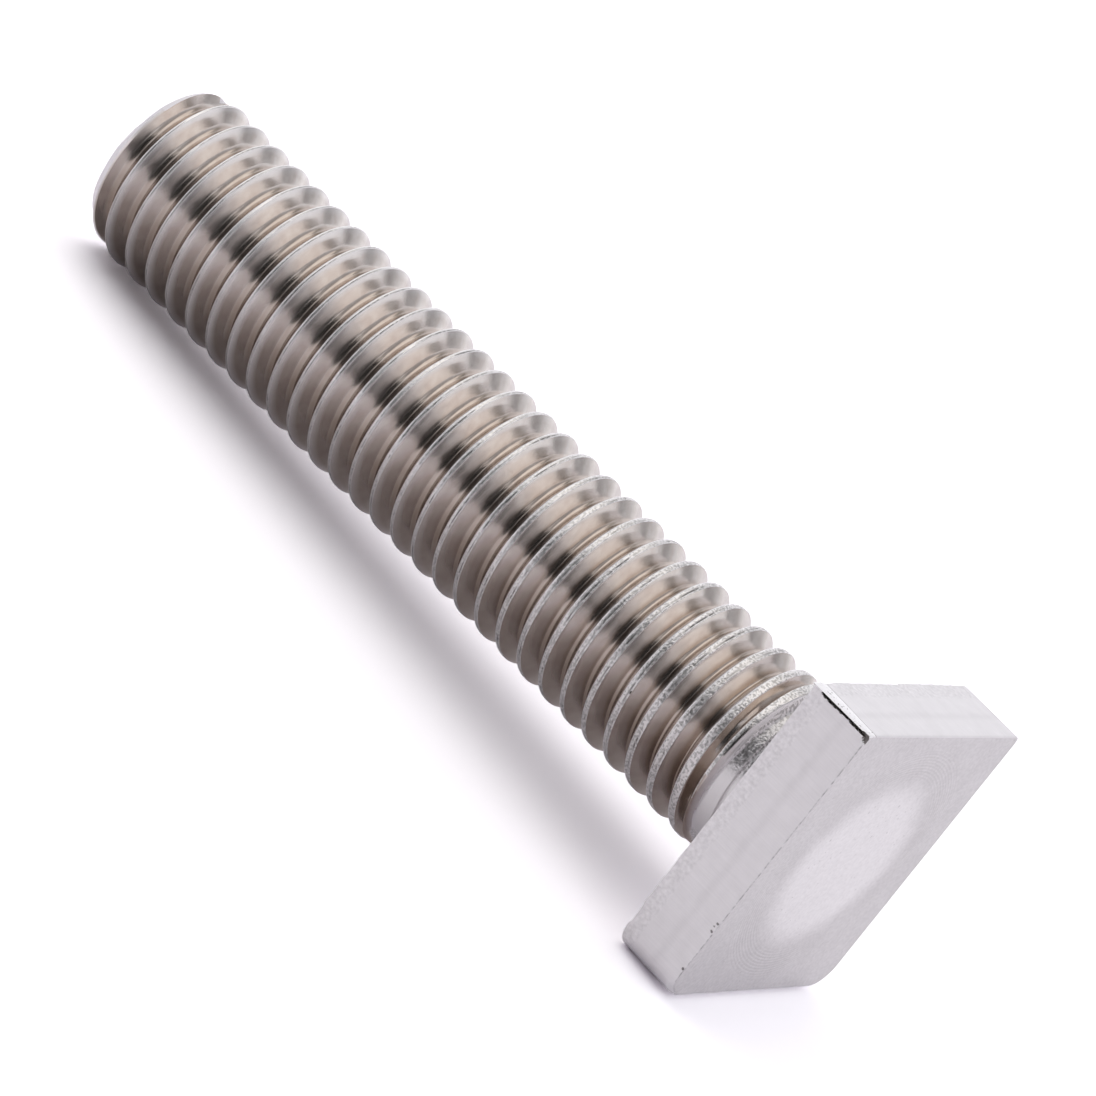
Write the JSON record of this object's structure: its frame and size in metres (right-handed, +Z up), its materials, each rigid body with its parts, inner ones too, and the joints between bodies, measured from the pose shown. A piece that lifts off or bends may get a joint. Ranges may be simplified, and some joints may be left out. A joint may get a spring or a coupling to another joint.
{
  "type": "square head screw",
  "caption": "Stainless-steel machine screw with a thin square head, a short plain neck, a coarse thread along the rest of the shank and a chamfered tip, lying at rest.",
  "frame": {"origin": "on the floor that the screw lies on, in the middle of its bounding box", "axes": "+Z up from the floor, +X along the shank from the tip to the head, +Y across the head"},
  "size_m": [0.0418, 0.0128, 0.0129],
  "materials": {
    "stainless_steel": "bare, satin on the sheared head and polished on the rolled thread"
  },
  "bodies": {
    "root": {"square_head_screw": "stainless_steel"}
  },
  "joints": []
}
